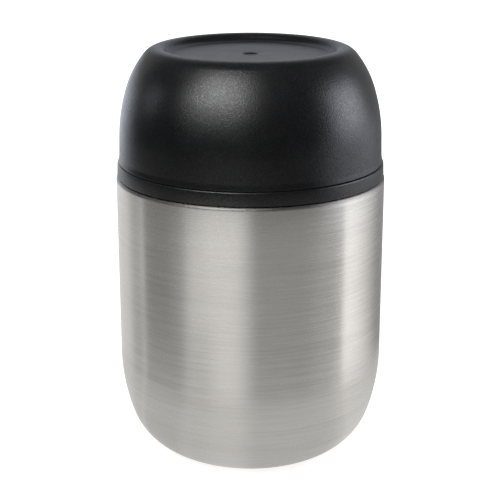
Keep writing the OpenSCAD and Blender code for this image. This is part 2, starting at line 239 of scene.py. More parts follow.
def smooth(x):
    """An S-curve from 0 to 1."""
    x = np.clip(x, 0, 1)
    return x * x * (3 - 2 * x)


def ridges(z, angle, first_z, first_angle, sweep):
    """How far a set of equal helical ridges stands out of its wall."""
    out = np.zeros_like(z)
    for start in range(THREAD_STARTS):
        along = (np.degrees(angle) - first_angle - 360 * start / THREAD_STARTS) % 360
        off = np.abs(z - first_z - THREAD_LEAD * along / 360)
        flank = smooth((THREAD_ROOT_W / 2 - off) / (THREAD_ROOT_W / 2 - THREAD_CREST_W / 2))
        ends = smooth(along / RUN_OUT) * smooth((sweep - along) / RUN_OUT)
        out = np.maximum(out, flank * ends)
    return THREAD_H * out


def lugs(z, angle, thread_z):
    """The short ridges that run under the long ones that start at thread_z."""
    first = THREAD_SWEEP / 2
    first_z = thread_z + THREAD_LEAD * first / 360 - THREAD_ROOT_W - LUG_PLAY
    return ridges(z, angle, first_z, first, LUG_SWEEP)


# %% [markdown]
# ## Building materials from effects
#
# Several finishes share an effect: brushing on every steel piece, mould grain
# on every plastic piece, smudges on whatever hands touch. Each effect is a
# shader node group, built once, that puts out masks and heights only. The
# metal or plastic itself stays in its own material.

# %% Small helpers for node trees
def add(tree, kind, inputs=None, **settings):
    """Add a node, set its properties, and give its inputs values or links."""
    node = tree.nodes.new(kind)
    for key, value in settings.items():
        setattr(node, key, value)
    for key, value in (inputs or {}).items():
        if isinstance(value, bpy.types.NodeSocket):
            tree.links.new(value, node.inputs[key])
        else:
            node.inputs[key].default_value = value
    return node


def calc(tree, operation, *values):
    """One Math node, returned as its output."""
    return add(tree, "ShaderNodeMath", dict(enumerate(values)), operation=operation).outputs[0]


def ramp(tree, value, low, high, to_low=0.0, to_high=1.0, kind="SMOOTHSTEP"):
    """Map a value from one range to another, with soft ends."""
    inputs = {"Value": value, "From Min": low, "From Max": high,
              "To Min": to_low, "To Max": to_high}
    return add(tree, "ShaderNodeMapRange", inputs, interpolation_type=kind).outputs[0]


def tint(tree, factor, low, high):
    """Mix two colours by a factor."""
    node = add(tree, "ShaderNodeMix", {"Factor": factor}, data_type="RGBA")
    for key, colour in (("A", low), ("B", high)):
        socket = next(s for s in node.inputs if s.name == key and s.type == "RGBA")
        if isinstance(colour, bpy.types.NodeSocket):
            tree.links.new(colour, socket)
        else:
            socket.default_value = (*colour, 1)
    return next(s for s in node.outputs if s.type == "RGBA")


def effect(name, inputs, outputs):
    """An empty node group with named sockets: returns its tree and its input sockets."""
    tree = bpy.data.node_groups.new(name, "ShaderNodeTree")
    for label, value in inputs.items():
        socket = tree.interface.new_socket(label, in_out="INPUT", socket_type="NodeSocketFloat")
        socket.default_value = value
    for label in outputs:
        tree.interface.new_socket(label, in_out="OUTPUT", socket_type="NodeSocketFloat")
    entry = tree.nodes.new("NodeGroupInput")
    return tree, entry.outputs


def use(tree, group, **values):
    """Place an effect in a material, and return its outputs."""
    inputs = {key.replace("_", " "): value for key, value in values.items()}
    return add(tree, "ShaderNodeGroup", inputs, node_tree=group).outputs


def position(tree):
    """The point on the object, in metres, and its parts x, y and z."""
    point = add(tree, "ShaderNodeTexCoord").outputs["Object"]
    parts = add(tree, "ShaderNodeSeparateXYZ", {0: point}).outputs
    return point, parts


# %% [markdown]
# ### Effect: turned grain
#
# Brushing, spinning and turning all leave lines that run round the axis. Noise
# is stretched for that: it changes slowly with x and y, so along a line, and
# fast with height plus radius, so from line to line, on walls and floors alike.
# Over the shoulder the radius shrinks as the height grows, so there it counts
# the other way.

# %% Build the turned grain
SHOULDER_FROM_Z = 75     # the shoulder is the steel above this height
SHOULDER_FROM_R = 48     # and outside this radius, both in mm
turned_grain, knob = effect("turned grain", {"Line width": 0.3, "Line length": 6.0},
                            ["Height", "Streak", "Band"])
point, xyz = position(turned_grain)
radius = calc(turned_grain, "SQRT", calc(turned_grain, "ADD",
              calc(turned_grain, "MULTIPLY", xyz["X"], xyz["X"]),
              calc(turned_grain, "MULTIPLY", xyz["Y"], xyz["Y"])))
above = calc(turned_grain, "GREATER_THAN", xyz["Z"], SHOULDER_FROM_Z * MM)
outer = calc(turned_grain, "GREATER_THAN", radius, SHOULDER_FROM_R * MM)
inward = calc(turned_grain, "SUBTRACT", 2 * BODY_R * MM,
              calc(turned_grain, "MULTIPLY", radius, 2.0))
past_edge = calc(turned_grain, "MULTIPLY",
                 calc(turned_grain, "MULTIPLY", above, outer), inward)
climb = calc(turned_grain, "ADD", calc(turned_grain, "ADD", xyz["Z"], radius), past_edge)


def stretched(tree, width, length, detail, seed):
    """Noise whose features are length mm along the brushing and width mm across it."""
    along = calc(tree, "DIVIDE", 1 / MM, length)
    across = calc(tree, "DIVIDE", 1 / MM, width)
    place = add(tree, "ShaderNodeCombineXYZ", {
        "X": calc(tree, "MULTIPLY", xyz["X"], along),
        "Y": calc(tree, "MULTIPLY", xyz["Y"], along),
        "Z": calc(tree, "ADD", calc(tree, "MULTIPLY", climb, across), seed)})
    return add(tree, "ShaderNodeTexNoise", {"Vector": place.outputs[0], "Scale": 1.0,
                                            "Detail": detail, "Roughness": 0.6}).outputs[0]


width, length = knob["Line width"], knob["Line length"]
fine = stretched(turned_grain, width, length, 2.0, 0.0)
coarse = stretched(turned_grain, calc(turned_grain, "MULTIPLY", width, 2.2),
                   calc(turned_grain, "MULTIPLY", length, 4.0), 1.0, 17.0)
broad = stretched(turned_grain, calc(turned_grain, "MULTIPLY", width, 20.0),
                  calc(turned_grain, "MULTIPLY", length, 8.0), 1.0, 41.0)
height = calc(turned_grain, "MULTIPLY_ADD", coarse, 0.5, fine)
streak = ramp(turned_grain, calc(turned_grain, "ADD", fine, coarse), 0.72, 1.28)
add(turned_grain, "NodeGroupOutput", {"Height": height, "Streak": streak,
                                      "Band": ramp(turned_grain, broad, 0.3, 0.7)})
print(turned_grain.name, "has", len(turned_grain.nodes), "nodes")

# %% [markdown]
# ### Effect: moulded grain
#
# The mould of the black parts was spark-eroded, which leaves a fine, even
# orange-peel. Two sizes of noise make it, and a speck mask lets some grains
# catch more light than their neighbours.

# %% Build the moulded grain
moulded_grain, knob = effect("moulded grain", {"Grain": 0.45}, ["Height", "Speck", "Cloud"])
point, xyz = position(moulded_grain)
scale = calc(moulded_grain, "DIVIDE", 1 / MM, knob["Grain"])
grains = add(moulded_grain, "ShaderNodeTexNoise", {"Vector": point, "Scale": scale,
                                                   "Detail": 2.0, "Roughness": 0.55}).outputs[0]
cells = add(moulded_grain, "ShaderNodeTexVoronoi",
            {"Vector": point, "Scale": calc(moulded_grain, "MULTIPLY", scale, 0.8)},
            feature="SMOOTH_F1").outputs["Distance"]
cloud = add(moulded_grain, "ShaderNodeTexNoise", {"Vector": point, "Scale": 0.09 / MM,
                                                  "Detail": 3.0}).outputs[0]
add(moulded_grain, "NodeGroupOutput", {
    "Height": calc(moulded_grain, "MULTIPLY_ADD", cells, -0.7, grains),
    "Speck": ramp(moulded_grain, grains, 0.42, 0.66),
    "Cloud": ramp(moulded_grain, cloud, 0.35, 0.65)})
print(moulded_grain.name, "has", len(moulded_grain.nodes), "nodes")

# %% [markdown]
# ### Effect: handling marks
#
# A used jar is never evenly matt: fingers leave soft patches, and shelves and
# cloths leave a few hairlines that run in all directions.

# %% Build the handling marks
handling, knob = effect("handling marks", {"Patch size": 14.0}, ["Smudge", "Hairline"])
point, xyz = position(handling)
patches = add(handling, "ShaderNodeTexNoise",
              {"Vector": point, "Scale": calc(handling, "DIVIDE", 1 / MM, knob["Patch size"]),
               "Detail": 4.0, "Roughness": 0.6, "Distortion": 0.8}).outputs[0]
lines = []
for turn, seed in ((0.5, 3.0), (-0.9, 11.0), (1.4, 23.0)):
    turned = add(handling, "ShaderNodeVectorRotate", {"Vector": point, "Angle": turn},
                 rotation_type="Y_AXIS").outputs[0]
    spread = add(handling, "ShaderNodeMapping", {"Vector": turned, "Location": (seed, seed, seed),
                                                 "Scale": (1500, 1500, 60)}).outputs[0]
    thin = add(handling, "ShaderNodeTexNoise", {"Vector": spread, "Scale": 1.0,
                                                "Detail": 0.0}).outputs[0]
    lines.append(ramp(handling, thin, 0.76, 0.8))
hairline = calc(handling, "MAXIMUM", calc(handling, "MAXIMUM", lines[0], lines[1]), lines[2])
add(handling, "NodeGroupOutput", {"Smudge": ramp(handling, patches, 0.42, 0.68),
                                  "Hairline": hairline})
print(handling.name, "has", len(handling.nodes), "nodes")

# %% [markdown]
# ### Effect: rubbed band
#
# Wear gathers at known heights: the ring that the jar stands on and the crest
# of the bowl. The mask is a soft band round one height, broken up by noise.

# %% Build the rubbed band
rubbed, knob = effect("rubbed band", {"Level": 0.0, "Reach": 1.0}, ["Mask"])
point, xyz = position(rubbed)
far = calc(rubbed, "DIVIDE", calc(rubbed, "ABSOLUTE",
           calc(rubbed, "SUBTRACT", calc(rubbed, "DIVIDE", xyz["Z"], MM), knob["Level"])),
           knob["Reach"])
patchy = add(rubbed, "ShaderNodeTexNoise", {"Vector": point, "Scale": 0.4 / MM,
                                            "Detail": 5.0, "Roughness": 0.7}).outputs[0]
add(rubbed, "NodeGroupOutput", {"Mask": calc(rubbed, "MULTIPLY", ramp(rubbed, far, 1.0, 0.0),
                                             ramp(rubbed, patchy, 0.4, 0.62))})
print(rubbed.name, "has", len(rubbed.nodes), "nodes")

# %% [markdown]
# ## Finish: brushed steel
#
# The jar's outer wall is brushed on a lathe, so the lines run round it and
# each highlight is drawn out up and down. Anisotropy does that, with its
# tangent taken round the axis and turned by a quarter. The lines themselves
# are a very shallow bump and a slight change of tone and roughness. Where the
# shoulder rounds over under the grip ring, the steel is made rougher, and a
# painted shade darkens its colour there, standing in for the shade under the ring.

# %% Make a material with one Principled shader
def material(name):
    """A new material's tree and its Principled shader."""
    made = bpy.data.materials.new(name)
    made.use_nodes = True
    made.node_tree.nodes.clear()
    tree = made.node_tree
    shader = add(tree, "ShaderNodeBsdfPrincipled")
    add(tree, "ShaderNodeOutputMaterial", {"Surface": shader.outputs[0]})
    return made, tree, shader


def finish_with(tree, shader, colour, roughness, height, depth):
    """Feed a shader's colour, roughness and bump. depth is the bump's height in mm."""
    tree.links.new(colour, shader.inputs["Base Color"])
    tree.links.new(roughness, shader.inputs["Roughness"])
    bump = add(tree, "ShaderNodeBump", {"Height": height, "Strength": 1.0,
                                        "Distance": depth * MM})
    tree.links.new(bump.outputs[0], shader.inputs["Normal"])


# %% Brushed steel and the smoother steel inside
# Band below the grip ring where the shoulder gets rougher and its colour is darkened towards a
# painted shade colour.
DULL_AND_SHADE_FROM, DULL_AND_SHADE_FULL = 1.6, 0.7     # mm below the grip ring
PAINTED_RING_SHADE = (0.30, 0.29, 0.272)


def steel(name, dark, light, rough, line_width, line_length, anisotropy, depth,
          foot_wear, edge_rough):
    """Steel that was brushed or spun round the jar's axis.

    foot_wear is how high the wear of the standing ring reaches, in mm, and
    edge_rough is the roughness that the shoulder's rounded edge adds, if any;
    where it is given, that edge also gets a painted shade from the grip ring.
    """
    made, tree, shader = material(name)
    shader.inputs["Metallic"].default_value = 1.0
    shader.inputs["Anisotropic"].default_value = anisotropy
    shader.inputs["Anisotropic Rotation"].default_value = 0.25
    round_axis = add(tree, "ShaderNodeTangent", direction_type="RADIAL", axis="Z")
    tree.links.new(round_axis.outputs[0], shader.inputs["Tangent"])
    grain = use(tree, turned_grain, Line_width=line_width, Line_length=line_length)
    marks = use(tree, handling, Patch_size=18.0)
    rub = use(tree, rubbed, Level=0.0, Reach=foot_wear)
    tone = calc(tree, "MULTIPLY_ADD", grain["Streak"], 0.75,
                calc(tree, "MULTIPLY", grain["Band"], 0.25))
    colour = tint(tree, tone, dark, light)
    level = calc(tree, "MULTIPLY_ADD", grain["Streak"], 0.05, rough - 0.025)
    level = calc(tree, "MULTIPLY_ADD", marks["Smudge"], 0.025, level)
    level = calc(tree, "MULTIPLY_ADD", rub["Mask"], 0.12, level)
    _, xyz = position(tree)
    # How far into the band under the grip ring a point lies: it adds roughness, and on the outer
    # steel painted shade.
    shoulder = ramp(tree, calc(tree, "DIVIDE", xyz["Z"], MM),
                    RING_Z - DULL_AND_SHADE_FROM, RING_Z - DULL_AND_SHADE_FULL)
    level = calc(tree, "MULTIPLY_ADD", shoulder, edge_rough, level)
    # Painted shade under the grip ring: the shoulder edge's colour is darkened here.
    if edge_rough:
        colour = tint(tree, shoulder, colour, PAINTED_RING_SHADE)
    finish_with(tree, shader, colour, level, grain["Height"], depth)
    return made


brushed_steel = steel("brushed steel", (0.566, 0.546, 0.515), (0.660, 0.639, 0.606), rough=0.26,
                      line_width=0.31, line_length=13.0, anisotropy=0.62, depth=0.005,
                      foot_wear=1.2, edge_rough=0.26)
vessel_steel = steel("spun vessel steel", (0.66, 0.65, 0.63), (0.74, 0.73, 0.71), rough=0.24,
                     line_width=0.7, line_length=40.0, anisotropy=0.55, depth=0.004,
                     foot_wear=0.5, edge_rough=0.0)
print("steel finishes:", brushed_steel.name, "and", vessel_steel.name)

# %% [markdown]
# ## Finish: black plastic
#
# The outer lid and the ring are a near-black plastic with a fine grain. Its
# colour is very dark, so most of what shows is gloss: the roughness varies
# with the grain and with fingermarks, and the grain is a real bump. The plug,
# the vent cap and the inside of the bowl come from a smoother mould.

# %% Grained and smooth black plastic
RUBBED_BLACK = (0.05, 0.05, 0.053)


def plastic(name, base, rough, grain_size, depth, sparkle, crest):
    """Moulded plastic, slightly rubbed round the height called crest.

    sparkle is how much the gloss differs from grain to grain.
    """
    made, tree, shader = material(name)
    shader.inputs["IOR"].default_value = 1.49
    grain = use(tree, moulded_grain, Grain=grain_size)
    marks = use(tree, handling, Patch_size=11.0)
    rub = use(tree, rubbed, Level=crest, Reach=0.8)
    dark = tuple(c * 0.82 for c in base)
    light = tuple(c * 1.2 + 0.001 for c in base)
    tone = calc(tree, "MULTIPLY_ADD", grain["Speck"], 0.5,
                calc(tree, "MULTIPLY", grain["Cloud"], 0.5))
    colour = tint(tree, tone, dark, light)
    colour = tint(tree, calc(tree, "MULTIPLY", rub["Mask"], 0.12), colour, RUBBED_BLACK)
    level = calc(tree, "MULTIPLY_ADD", grain["Speck"], -0.05, rough)
    level = calc(tree, "MULTIPLY_ADD", marks["Smudge"], 0.03, level)
    gloss = ramp(tree, grain["Speck"], 0.0, 1.0, 0.5 - sparkle, 0.5 + sparkle)
    tree.links.new(gloss, shader.inputs["Specular IOR Level"])
    level = calc(tree, "MULTIPLY_ADD", rub["Mask"], -0.03, level)
    high = calc(tree, "MULTIPLY_ADD", marks["Hairline"], -0.12, grain["Height"])
    finish_with(tree, shader, colour, level, high, depth)
    return made


BLACK = (0.0048, 0.0050, 0.0056)
grained_black = plastic("grained black plastic", BLACK, rough=0.32, grain_size=0.40,
                        depth=0.055, sparkle=0.13, crest=bowl_high.z)
smooth_black = plastic("smooth black plastic", BLACK, rough=0.25, grain_size=0.9,
                       depth=0.010, sparkle=0.05, crest=lid_high.z)
print("plastic finishes:", grained_black.name, "and", smooth_black.name)

# %% [markdown]
# ## Finish: silicone, foil, foam and small metal
#
# These are the pieces that show when the lids are lifted or the jar is cut
# open. Silicone is matt with a velvety dust, the foil is crinkled copper, and
# the foam has open cells.

# %% Silicone
def silicone_finish():
    """Soft dark rubber with a faint bloom."""
    made, tree, shader = material("silicone")
    shader.inputs["IOR"].default_value = 1.41
    shader.inputs["Sheen Weight"].default_value = 0.15
    shader.inputs["Sheen Roughness"].default_value = 0.5
    grain = use(tree, moulded_grain, Grain=0.3)
    marks = use(tree, handling, Patch_size=7.0)
    bloom = calc(tree, "MULTIPLY_ADD", grain["Cloud"], 0.5,
                 calc(tree, "MULTIPLY", marks["Smudge"], 0.4))
    colour = tint(tree, bloom, (0.040, 0.041, 0.044), (0.064, 0.065, 0.068))
    level = calc(tree, "MULTIPLY_ADD", grain["Speck"], 0.08, 0.52)
    finish_with(tree, shader, colour, level, grain["Height"], 0.008)
    return made


silicone = silicone_finish()

# %% Copper foil, with creases from wrapping
def foil_finish():
    """Bright copper foil that was wrapped by hand."""
    made, tree, shader = material("copper foil")
    shader.inputs["Metallic"].default_value = 1.0
    spot, _ = position(tree)
    creases = add(tree, "ShaderNodeTexVoronoi", {"Vector": spot, "Scale": 0.12 / MM,
                                                 "Randomness": 1.0},
                  feature="DISTANCE_TO_EDGE").outputs["Distance"]
    fold = ramp(tree, creases, 0.0, 0.12)
    grain = use(tree, moulded_grain, Grain=1.4)
    colour = tint(tree, grain["Cloud"], (0.68, 0.36, 0.24), (0.80, 0.47, 0.33))
    level = calc(tree, "MULTIPLY_ADD", grain["Speck"], 0.10, 0.2)
    finish_with(tree, shader, colour, level, fold, 0.12)
    return made


copper_foil = foil_finish()

# %% Rigid foam
def foam_finish():
    """Cut foam with open cells."""
    made, tree, shader = material("rigid foam")
    spot, _ = position(tree)
    cells = add(tree, "ShaderNodeTexVoronoi",
                {"Vector": spot, "Scale": 1.1 / MM}).outputs["Distance"]
    grain = use(tree, moulded_grain, Grain=2.0)
    colour = tint(tree, ramp(tree, cells, 0.1, 0.6), (0.88, 0.86, 0.79), (0.70, 0.67, 0.58))
    level = calc(tree, "MULTIPLY_ADD", grain["Cloud"], 0.1, 0.82)
    finish_with(tree, shader, colour, level, calc(tree, "MULTIPLY", cells, -1.0), 0.25)
    return made


rigid_foam = foam_finish()

# %% Sintered getter, solder and bright small steel
def small_metal(name, dark, light, rough, grain_size, depth):
    """Plain metal with a cast or drawn skin."""
    made, tree, shader = material(name)
    shader.inputs["Metallic"].default_value = 1.0
    grain = use(tree, moulded_grain, Grain=grain_size)
    marks = use(tree, handling, Patch_size=4.0)
    colour = tint(tree, grain["Cloud"], dark, light)
    level = calc(tree, "MULTIPLY_ADD", grain["Speck"], 0.12, rough)
    level = calc(tree, "MULTIPLY_ADD", marks["Smudge"], 0.06, level)
    finish_with(tree, shader, colour, level, grain["Height"], depth)
    return made


getter_metal = small_metal("sintered getter metal", (0.30, 0.30, 0.31), (0.50, 0.50, 0.51),
                           rough=0.55, grain_size=0.25, depth=0.03)
bright_steel = small_metal("bright drawn steel", (0.62, 0.61, 0.60), (0.72, 0.72, 0.71),
                           rough=0.18, grain_size=0.5, depth=0.002)
print("materials:", len(bpy.data.materials))

# %% [markdown]
# ## The steel wall
#
# The outer wall is one deep-drawn sheet. From the flat standing ring it turns
# up in a tight curve, which slows into a long one before the wall is straight,
# and that is what makes the foot look full and round. The shoulder has a small
# rounded edge, and the neck above it carries the rolled thread. The sheet has
# a real thickness, with an inner face that follows the outer one.

# %% Draw the steel wall
FLAT_TURN_R = 24.3       # tight curve at the foot
FLANK_R = 74.8           # slow curve above it
FLANK_ANGLE = 18.82
SHOULDER_ROUND = 1.0
RING_GAP = 0.2           # gap between the shoulder and the grip ring
NECK_FILLET = 1.0
RIM_FOLD = 1.5
STANDING_RING_W = 4.0
SHOULDER_Z = RING_Z - RING_GAP
NECK_THREAD_Z = SHOULDER_Z + 3.5
PAN_TOP = 3.5

flank_turn = math.radians(FLANK_ANGLE)
flank_centre = (BODY_R - FLANK_R, FLAT_TURN_R + (FLANK_R - FLAT_TURN_R) * math.sin(flank_turn))
foot_r = flank_centre[0] + (FLANK_R - FLAT_TURN_R) * math.cos(flank_turn)
opening_r = foot_r - STANDING_RING_W


def wall_face(inset, fine):
    """The wall's outer face (inset 0) or inner face, from the base rim to the lip.

    fine is how many points the big curves get.
    """
    return (
        [(opening_r + inset, PAN_TOP)]
        + arc((opening_r + RIM_FOLD, RIM_FOLD), RIM_FOLD - inset, 180, 270, 8)
        + arc((foot_r, FLAT_TURN_R), FLAT_TURN_R - inset, -90, -FLANK_ANGLE, 3 * fine)
        + arc(flank_centre, FLANK_R - inset, -FLANK_ANGLE, 0, 2 * fine)
        + arc((BODY_R - SHOULDER_ROUND, SHOULDER_Z - SHOULDER_ROUND),
              SHOULDER_ROUND - inset, 0, 90, 10)
        + arc((NECK_R + NECK_FILLET, SHOULDER_Z + NECK_FILLET),
              NECK_FILLET + inset, 270, 180, 8)
        + [(NECK_R - inset, LIP_Z - STEEL_T)])


def neck_relief(r, z, angle):
    """The rolled thread on the neck's outer face."""
    on_neck = (np.abs(r - NECK_R) < 0.01) & (z > SHOULDER_Z + NECK_FILLET)
    return r + on_neck * ridges(z, angle, NECK_THREAD_Z, 0, THREAD_SWEEP), z


outer_face = with_rows(wall_face(0, 16), THREAD_ROW, SHOULDER_Z + NECK_FILLET, LIP_Z)
steel_wall = spin("steel_wall", outer_face + wall_face(STEEL_T, 8)[::-1], 288, neck_relief)
steel_wall.data.materials.append(brushed_steel)
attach(steel_wall, "jar")
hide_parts("outer_shell")
print("steel wall:", len(steel_wall.data.vertices), "points, foot radius", round(foot_r, 2))

# %% [markdown]
# ## The food vessel and the foot disc
#
# The vessel is a second drawn cup, closed into the neck by a rolled lip. Its
# floor is slightly proud in the middle, as a spun floor is. Under the jar, a
# thin spun disc hides the welded pan. Its edge is bevelled, and a shallow ring
# groove stiffens it.

# %% Draw the food vessel
VESSEL_CORNER_R = 18.0
FLOOR_RISE = 0.25
MOUTH_R = NECK_R - 1.4   # steel, gap and steel
vessel_r = MOUTH_R + STEEL_T
vessel_z = vessel_low.z
corner = (vessel_r - VESSEL_CORNER_R, vessel_z + VESSEL_CORNER_R)
vessel_outline = (
    [(0, vessel_z)]
    + arc(corner, VESSEL_CORNER_R, -90, 0, 20)
    + [(vessel_r, LIP_Z - STEEL_T), (NECK_R, LIP_Z - STEEL_T), (NECK_R, LIP_Z, 0.2)]
    + arc((vessel_r, LIP_Z - STEEL_T), STEEL_T, 90, 180, 6)
    + arc(corner, VESSEL_CORNER_R - STEEL_T, 0, -90, 28)
    + [(14.0, vessel_z + STEEL_T), (11.0, vessel_z + STEEL_T + FLOOR_RISE),
       (0, vessel_z + STEEL_T + FLOOR_RISE)])
food_vessel = spin("food_vessel", rounded(vessel_outline), 256)
food_vessel.data.materials.append(vessel_steel)
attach(food_vessel, "jar")
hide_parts("inner_vessel")

# %% Draw the foot disc
cover_r = cover_high.x
cover_z = cover_low.z
GROOVE_R = 15.5
GROOVE_DEPTH = 0.18
disc_outline = rounded([
    (0, cover_z + 0.12), (GROOVE_R - 3.2, cover_z + 0.12), (GROOVE_R - 1.0, cover_z, 0.6),
    (GROOVE_R - 0.6, cover_z, 0.2), (GROOVE_R, cover_z + GROOVE_DEPTH, 0.4),
    (GROOVE_R + 0.6, cover_z, 0.2), (cover_r - 0.5, cover_z, 0.3), (cover_r, cover_z + 0.3),
    (cover_r, cover_high.z), (0, cover_high.z)])
foot_disc = spin("foot_disc", disc_outline, 192)
foot_disc.data.materials.append(brushed_steel)
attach(foot_disc, "jar")
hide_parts("base_cover")
print("vessel and foot disc made")

# %% [markdown]
# ## The inner lid
#
# The inner lid is one moulding: a deck, a skirt that screws onto the neck
# inside and takes the bowl's lugs outside, and at the bottom the grip ring,
# the thin black line between steel and dome. The ring is hollow underneath,
# with ribs that keep it round. Finger flutes run round the rim. Threads, lugs,
# flutes and ribs are all relief on the same spun skin.

# %% Relief of the inner lid
LID_WALL = 1.7
SKIRT_IN_R = NECK_R + THREAD_H + 0.4
SKIRT_R = SKIRT_IN_R + LID_WALL
RING_TOP = RING_Z + 5.5
RING_LEAN = 0.2          # the grip ring is this much narrower at its top
DECK_TOP = DECK_Z + 2.2
RIM_TOP = DECK_TOP + 2.0
RIM_W = 6.5
RIM_ROUND = 1.2
LID_THREAD_Z = RING_TOP + 2.4
FLUTES = 36
FLUTE_R = 2.0
FLUTE_OUT = 1.1
FLUTE_H = 2.2
FLUTE_FADE = 0.9         # height in which a flute deepens from its lower end
FLUTE_EASE = 0.18        # how softly a flute runs out into the rim
CHANNEL_WALL = 2.0
RIB_SET_BACK = 0.8       # from the ring's lower edge up to the ribs
RIBS = 36
RIB_W = 0.6              # degrees to each side of a rib's middle


def flute_depth(angle):
    """How deep the nearest finger flute cuts into the rim at this angle."""
    pitch = 2 * math.pi / FLUTES
    off = (angle + pitch / 2) % pitch - pitch / 2
    axis_r = SKIRT_R + FLUTE_OUT
    inside = np.maximum(FLUTE_R ** 2 - (axis_r * np.sin(off)) ** 2, 0)
    edge = axis_r * np.cos(off) - np.sqrt(inside)
    depth = np.where(inside > 0, np.maximum(SKIRT_R - edge, 0), 0)
    return depth ** 2 / (depth + FLUTE_EASE)


def lid_relief(r, z, angle):
    """Threads, lugs, flutes and the ribs under the ring."""
    outside = np.abs(r - SKIRT_R) < 0.02
    inside = np.abs(r - SKIRT_IN_R) < 0.02
    above_ring = z > RING_TOP + 0.1
    high = smooth((z - RIM_TOP + FLUTE_H) / FLUTE_FADE)
    near_rim = smooth((r - SKIRT_R + RIM_W - 2) / (RIM_W - 2)) * (r > SKIRT_R - RIM_W)
    fluted = flute_depth(angle) * high * near_rim
    turned = np.degrees(angle) % (360 / RIBS)
    on_rib = np.minimum(turned, 360 / RIBS - turned) < RIB_W
    channel_roof = np.abs(z - RING_TOP + CHANNEL_WALL) < 0.01
    in_channel = channel_roof & (r > SKIRT_R) & (r < RING_R - 1)
    out = r - fluted
    out = out + (outside & above_ring) * ridges(z, angle, LID_THREAD_Z, 0, THREAD_SWEEP)
    out = out - inside * lugs(z, angle, NECK_THREAD_Z)
    return out, np.where(in_channel & on_rib, RING_Z + RIB_SET_BACK, z)


# %% Draw the inner lid
LID_ROW = 0.23           # finer rows than the other threads have
STEM_HOLE_R = 2.2
pocket_r = cap_high.x + 0.3
hub_r = pocket_r + 2.4
pocket_z = DECK_TOP + 0.6
hub_top = lid_high.z
rim_in_r = SKIRT_R - RIM_W
channel_in = SKIRT_R + 0.6
channel_out = RING_R - CHANNEL_WALL
channel_top = RING_TOP - CHANNEL_WALL
lid_outline = rounded([
    (STEM_HOLE_R, DECK_Z), (SKIRT_IN_R, DECK_Z), (SKIRT_IN_R, RING_Z, 0.3),
    (channel_in, RING_Z, 0.2), (channel_in, channel_top), (channel_out, channel_top),
    (channel_out, RING_Z, 0.3), (RING_R, RING_Z, 0.8), (RING_R - RING_LEAN, RING_TOP, 0.7),
    (SKIRT_R, RING_TOP), (SKIRT_R, RIM_TOP, RIM_ROUND), (rim_in_r + 2, RIM_TOP, 0.7),
    (rim_in_r, DECK_TOP, 0.7), (hub_r + 0.02, DECK_TOP, 0.8), (hub_r, hub_top, 0.6),
    (pocket_r, hub_top, 0.3), (pocket_r, pocket_z), (STEM_HOLE_R, pocket_z, 0.2)], 6)
lid_outline = with_rows(lid_outline, LID_ROW, RING_Z, RIM_TOP, (SKIRT_R, SKIRT_IN_R))
lid_moulding = spin("lid_moulding", lid_outline, 432, lid_relief)
lid_moulding.data.materials.append(grained_black)
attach(lid_moulding, "inner_lid")
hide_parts("inner_lid")
print("inner lid:", len(lid_moulding.data.vertices), "points")

# %% [markdown]
# ## The plug, its gasket and the vent
#
# Below the deck a plastic cup full of foam fills the mouth. A silicone ring
# lies on the lip and wipes down the vessel's wall with two fins. Through the
# middle runs the vent: a cap to press, a steel stem, and a valve head that
# pulls a soft washer against the plug's underside. All are spun outlines.

# %% Draw the plug cup
PLUG_WALL = 1.6
PLUG_CORNER_R = 3.0
plug_r = MOUTH_R - 1.1
plug_z = plug_low.z
tube_in_r = 2.8
tube_r = tube_in_r + PLUG_WALL
flange_z = DECK_Z - 1.4
bead_top = gasket_low.z - 0.1
corner = (plug_r - PLUG_CORNER_R, plug_z + PLUG_CORNER_R)
plug_outline = rounded(
    [(tube_in_r, plug_z, 0.4), (12.0, plug_z, 0.5), (12.6, plug_z + 0.5, 0.5),
     (33.0, plug_z + 0.5, 0.5), (33.6, plug_z, 0.5)]
    + arc(corner, PLUG_CORNER_R, -90, 0, 10)
    + [(plug_r, bead_top - 1.4), (plug_r + 0.5, bead_top - 0.9, 0.3),
       (plug_r + 0.5, bead_top - 0.3, 0.3), (plug_r, bead_top),
       (plug_r, flange_z, 0.2), (plug_high.x, flange_z, 0.3),
       (plug_high.x, DECK_Z), (plug_r - PLUG_WALL, DECK_Z)]
    + arc(corner, PLUG_CORNER_R - PLUG_WALL, 0, -90, 6)
    + [(tube_r, plug_z + PLUG_WALL), (tube_r, DECK_Z), (tube_in_r, DECK_Z)])
plug_cup = spin("plug_cup", plug_outline, 256)
plug_cup.data.materials.append(smooth_black)
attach(plug_cup, "inner_lid")
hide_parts("lid_plug")

# %% Draw the mouth gasket
FIN_R = MOUTH_R - 0.3
web_r = MOUTH_R - 0.55
seal_in_r = plug_r + 0.1
seal_top = gasket_high.z
seal_flat = seal_top - 1.4


def fin(z):
    """One wiping fin of the gasket."""
    return [(web_r, z), (FIN_R, z + 0.45, 0.12), (FIN_R, z + 0.8, 0.12), (web_r, z + 1.1)]


gasket_outline = rounded(
    [(seal_in_r, gasket_low.z, 0.15), (web_r, gasket_low.z, 0.15)]
    + fin(gasket_low.z + 1) + fin(gasket_low.z + 3.4)
    + [(web_r, seal_flat), (gasket_high.x - 0.25, seal_flat, 0.25),
       (gasket_high.x, seal_flat + 0.7, 0.3), (gasket_high.x - 0.25, seal_top, 0.25),
       (seal_in_r, seal_top, 0.15)], 4)
mouth_gasket = spin("mouth_gasket", gasket_outline, 256)
mouth_gasket.data.materials.append(silicone)
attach(mouth_gasket, "lid_lift")
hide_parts("mouth_seal")
print("plug cup and gasket made")

